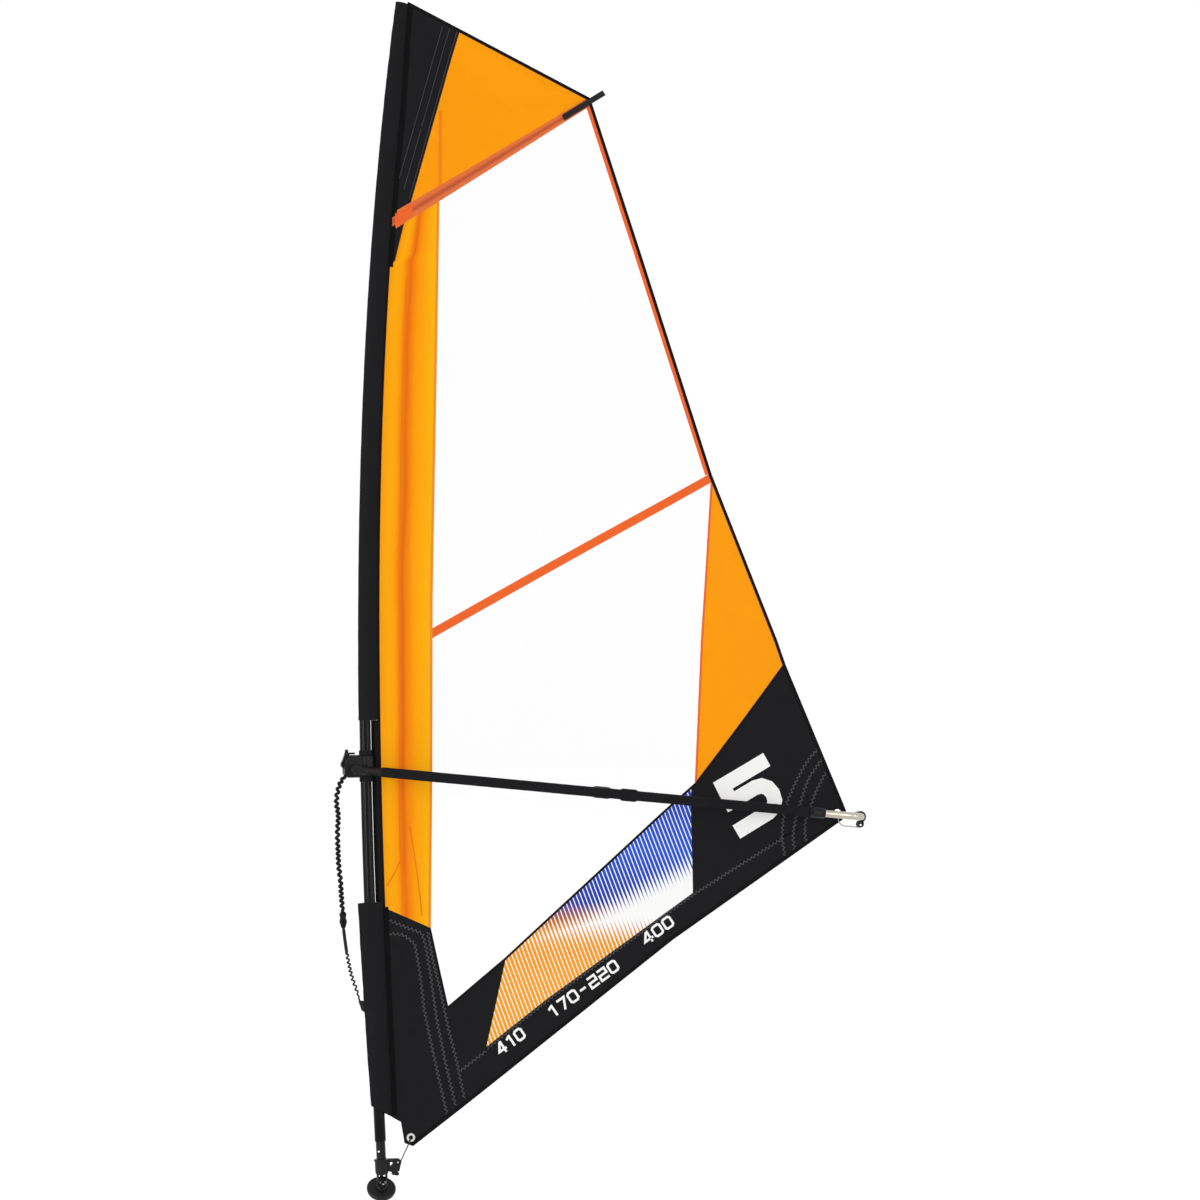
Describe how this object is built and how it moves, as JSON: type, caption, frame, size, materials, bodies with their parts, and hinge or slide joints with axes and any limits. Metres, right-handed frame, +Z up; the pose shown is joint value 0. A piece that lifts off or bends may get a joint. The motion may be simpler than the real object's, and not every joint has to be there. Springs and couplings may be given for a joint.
{
  "type": "windsurf rig",
  "caption": "Windsurf rig: bent mast in a luff sleeve, panelled sail with clear windows, wishbone boom clamped to the mast, uphaul and jointed mast foot.",
  "frame": {"origin": "centre of the mast foot's universal joint, on the mast's axis", "axes": "+Z up towards the sail's head, +X aft from the mast towards the clew, -Y the port side of the sail"},
  "size_m": [2.01, 0.4334, 4.3202],
  "materials": {
    "alloy": "satin anodised",
    "black_alloy": "black anodised",
    "black_cloth": "matte black woven sailcloth",
    "black_plastic": "satin black moulded plastic",
    "carbon": "gloss clear-coated black composite",
    "clear_film": "clear film, glossy",
    "foam": "matte black foam grip",
    "orange_cloth": "smooth bright orange laminate cloth",
    "print_cloth": "white cloth printed with slanted stripes that fade from blue to orange",
    "red_tape": "translucent orange-red tape",
    "rope": "black braided rope",
    "rubber": "matte black rubber",
    "steel": "polished stainless"
  },
  "bodies": {
    "rig": {"mast_bottom_section": "carbon", "mast_top_section": "carbon", "mast_ferrule": "carbon", "head_cap": "black_plastic", "luff_sleeve_lower": "black_cloth", "luff_sleeve_upper": "black_cloth", "cutout_flap": "black_cloth", "head_panel_black": "black_cloth", "head_corner_black": "black_cloth", "head_panel_orange": "orange_cloth", "luff_panel": "orange_cloth", "window_upper": "clear_film", "middle_seam_strip": "red_tape", "window_lower": "clear_film", "leech_panel": "orange_cloth", "clew_patch": "black_cloth", "print_panel": "print_cloth", "foot_band": "black_cloth", "tack_panel": "black_cloth", "head_piping": "black_cloth", "leech_piping": "black_cloth", "tack_eyelet": "steel", "clew_eyelet": "steel", "batten_pocket": "red_tape", "batten": "black_plastic", "batten_tensioner": "black_plastic", "uphaul_rope": "rope", "uphaul_knot": "rope", "uphaul_bungee": "rope", "uphaul_hook": "black_plastic"},
    "boom_head": {"clamp_body": "black_plastic", "clamp_liner": "rubber", "trunnion_pin": "black_alloy", "lever_pin": "steel"},
    "clamp_lever": {"clamp_lever": "black_plastic"},
    "boom": {"arm_knuckle_port": "black_plastic", "arm_knuckle_starboard": "black_plastic", "boom_arm_port": "black_alloy", "boom_arm_starboard": "black_alloy", "boom_grip_port": "foam", "boom_grip_starboard": "foam", "lock_collar_port": "black_plastic", "lock_collar_starboard": "black_plastic"},
    "lock_lever_port": {"lock_lever_port": "black_plastic"},
    "lock_lever_starboard": {"lock_lever_starboard": "black_plastic"},
    "boom_tail": {"tail_tube": "alloy", "end_fitting": "black_plastic", "outhaul_axle": "steel", "outhaul_line": "rope"},
    "outhaul_sheave": {"outhaul_sheave": "black_plastic"},
    "extension": {"extension_tube": "black_alloy", "pulley_housing": "black_plastic", "downhaul_cleat": "black_plastic", "downhaul_axle": "steel", "downhaul_line": "rope"},
    "downhaul_sheave": {"downhaul_sheave": "black_plastic"},
    "swivel": {"swivel_fork": "black_plastic"},
    "cross": {"joint_cross": "steel"},
    "base": {"base_plate": "black_plastic", "base_pad": "rubber"}
  },
  "joints": [
    {"name": "boom_height", "type": "slide", "parent": "rig", "child": "boom_head", "axis": [-0.0268, 0, 0.9996], "range_m": [-0.15, 0.05], "deforming": ["uphaul_rope"]},
    {"name": "clamp_lever_open", "type": "hinge", "parent": "boom_head", "child": "clamp_lever", "pos_m": [-0.13912, 0, 1.48218], "axis": [0, -1, 0], "range_deg": [0, 100]},
    {"name": "boom_pitch", "type": "hinge", "parent": "boom_head", "child": "boom", "pos_m": [-0.11067, 0, 1.46387], "axis": [0, 1, 0], "range_deg": [-6, 4]},
    {"name": "lock_port_open", "type": "hinge", "parent": "boom", "child": "lock_lever_port", "pos_m": [1.59363, -0.1096, 1.29856], "axis": [-0.0965, 0, -0.9953], "range_deg": [0, 80]},
    {"name": "lock_starboard_open", "type": "hinge", "parent": "boom", "child": "lock_lever_starboard", "pos_m": [1.59363, 0.1096, 1.29856], "axis": [0.0965, 0, 0.9953], "range_deg": [0, 80]},
    {"name": "boom_length", "type": "slide", "parent": "boom", "child": "boom_tail", "axis": [0.9953, 0, -0.0965], "range_m": [-0.02, 0.3], "deforming": ["outhaul_line"]},
    {"name": "outhaul_sheave_spin", "type": "hinge", "parent": "boom_tail", "child": "outhaul_sheave", "pos_m": [1.81186, 0, 1.24685], "axis": [0, 1, 0], "continuous": true},
    {"name": "extension_length", "type": "slide", "parent": "rig", "child": "extension", "axis": [0.0519, 0, -0.9987], "range_m": [-0.03, 0.1], "deforming": ["downhaul_line"]},
    {"name": "downhaul_sheave_spin", "type": "hinge", "parent": "extension", "child": "downhaul_sheave", "pos_m": [0.05481, 0, 0.06293], "axis": [0, 1, 0], "continuous": true},
    {"name": "foot_swivel", "type": "hinge", "parent": "extension", "child": "swivel", "pos_m": [0, 0, 0], "axis": [-0.0519, 0, 0.9987], "continuous": true},
    {"name": "foot_tilt_across", "type": "hinge", "parent": "swivel", "child": "cross", "pos_m": [0, 0, 0], "axis": [0.9987, 0, 0.0519], "range_deg": [-90, 10]},
    {"name": "foot_tilt_along", "type": "hinge", "parent": "cross", "child": "base", "pos_m": [0, 0, 0], "axis": [-0.0334, 0.766, 0.6419], "range_deg": [-32, 32]}
  ],
  "couplings": [
    {"joint": "boom_pitch", "follows": "boom_height", "rad_per_m": 0.5417}
  ]
}
